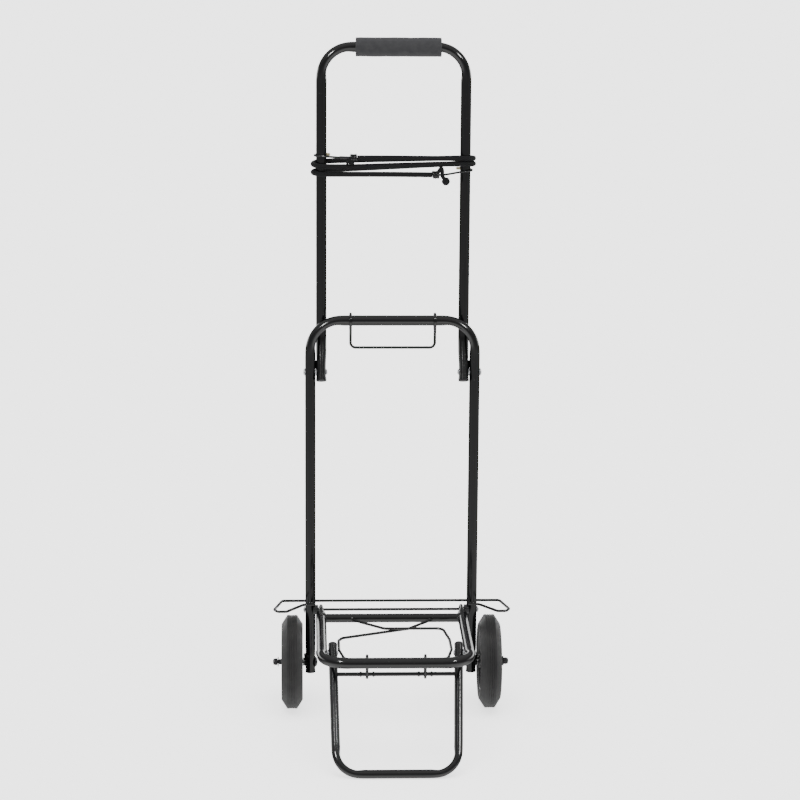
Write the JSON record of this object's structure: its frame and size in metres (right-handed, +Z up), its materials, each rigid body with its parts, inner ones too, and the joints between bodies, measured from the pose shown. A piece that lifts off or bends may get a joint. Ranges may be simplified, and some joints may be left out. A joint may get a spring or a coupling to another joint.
{
  "type": "folding luggage cart",
  "caption": "Folding luggage cart: nested tube frames that fold at rivets, a drop-down platform propped by a stand, side wheels on axle bolts and an elastic cord.",
  "frame": {"origin": "centre of the footprint on the floor, under the middle of the opened cart", "axes": "+Z up, +Y towards the back, where the handle stands, -Y towards the platform's front bar, +X to the right seen from the front"},
  "size_m": [0.3786, 0.4153, 1.071],
  "materials": {
    "tube_paint": "gloss",
    "wire_paint": "gloss",
    "black_steel": "satin",
    "zinc": "satin",
    "black_plastic": "gloss",
    "wheel_tyre": "matte",
    "foam": "matte",
    "elastic_cord": "matte",
    "hook_tip": "satin"
  },
  "bodies": {
    "frame": {"main_frame_tube": "tube_paint", "wheel_guard_wire": "wire_paint", "axle_bolt_left": "black_steel", "axle_bolt_right": "black_steel", "hub_spacer_left": "black_plastic", "hub_spacer_right": "black_plastic", "axle_bush_left": "black_steel", "axle_bush_right": "black_steel", "axle_washer_left": "black_steel", "axle_washer_right": "black_steel", "axle_nut_left": "black_steel", "axle_nut_right": "black_steel", "handle_rivet_left": "zinc", "handle_rivet_right": "zinc", "handle_spacer_left": "zinc", "handle_spacer_right": "zinc", "platform_hinge_rod": "wire_paint", "rod_cap_left": "zinc", "rod_cap_right": "zinc", "hinge_saddle_left": "black_plastic", "hinge_saddle_right": "black_plastic"},
    "handle": {"handle_tube": "tube_paint", "foam_grip": "foam", "handle_end_plug_left": "black_plastic", "handle_end_plug_right": "black_plastic", "bungee_cord": "elastic_cord", "bungee_hook_left": "wire_paint", "bungee_hook_right": "wire_paint", "hook_tip_left": "hook_tip", "hook_tip_right": "hook_tip"},
    "bail": {"top_bail": "wire_paint"},
    "platform": {"platform_tube": "tube_paint", "platform_cross_tube": "tube_paint", "stand_pin_left": "zinc", "stand_pin_right": "zinc", "stand_bush_left": "zinc", "stand_bush_right": "zinc"},
    "stand": {"stand_tube": "tube_paint", "stand_cap_left": "black_plastic", "stand_cap_right": "black_plastic", "stand_rod": "wire_paint", "rod_crimp_1": "wire_paint", "rod_crimp_2": "wire_paint", "rod_crimp_3": "wire_paint", "rod_crimp_4": "wire_paint"},
    "links": {"link_left": "wire_paint", "link_right": "wire_paint"},
    "support_wire": {"support_wire": "wire_paint"},
    "wheel_left": {"tyre_left": "wheel_tyre", "hub_left": "black_plastic"},
    "wheel_right": {"tyre_right": "wheel_tyre", "hub_right": "black_plastic"}
  },
  "joints": [
    {"name": "handle_fold", "type": "hinge", "parent": "frame", "child": "handle", "pos_m": [0, 0.13275, 0.55], "axis": [-1, 0, 0], "range_deg": [0, 173]},
    {"name": "platform_fold", "type": "hinge", "parent": "frame", "child": "platform", "pos_m": [0, 0.13275, 0.162], "axis": [-1, 0, 0], "range_deg": [0, 85]},
    {"name": "stand_fold", "type": "hinge", "parent": "platform", "child": "stand", "pos_m": [0, -0.09725, 0.162], "axis": [-1, 0, 0], "range_deg": [0, 34]},
    {"name": "support_wire_lift", "type": "hinge", "parent": "platform", "child": "support_wire", "pos_m": [0, 0.08475, 0.162], "axis": [-1, 0, 0], "range_deg": [0, 3.6]},
    {"name": "link_swing", "type": "hinge", "parent": "stand", "child": "links", "pos_m": [0, -0.11561, 0.13458], "axis": [-1, 0, 0], "range_deg": [-4.6, 0.5]},
    {"name": "bail_swing", "type": "hinge", "parent": "frame", "child": "bail", "pos_m": [0, 0.13275, 0.632], "axis": [-1, 0, 0], "continuous": true},
    {"name": "wheel_left_spin", "type": "hinge", "parent": "frame", "child": "wheel_left", "pos_m": [-0.1583, 0.13275, 0.075], "axis": [-1, 0, 0], "continuous": true},
    {"name": "wheel_right_spin", "type": "hinge", "parent": "frame", "child": "wheel_right", "pos_m": [0.1583, 0.13275, 0.075], "axis": [-1, 0, 0], "continuous": true}
  ],
  "couplings": [
    {"joint": "support_wire_lift", "follows": "stand_fold", "ratio": 0.1018},
    {"joint": "link_swing", "follows": "stand_fold", "ratio": -0.129}
  ]
}
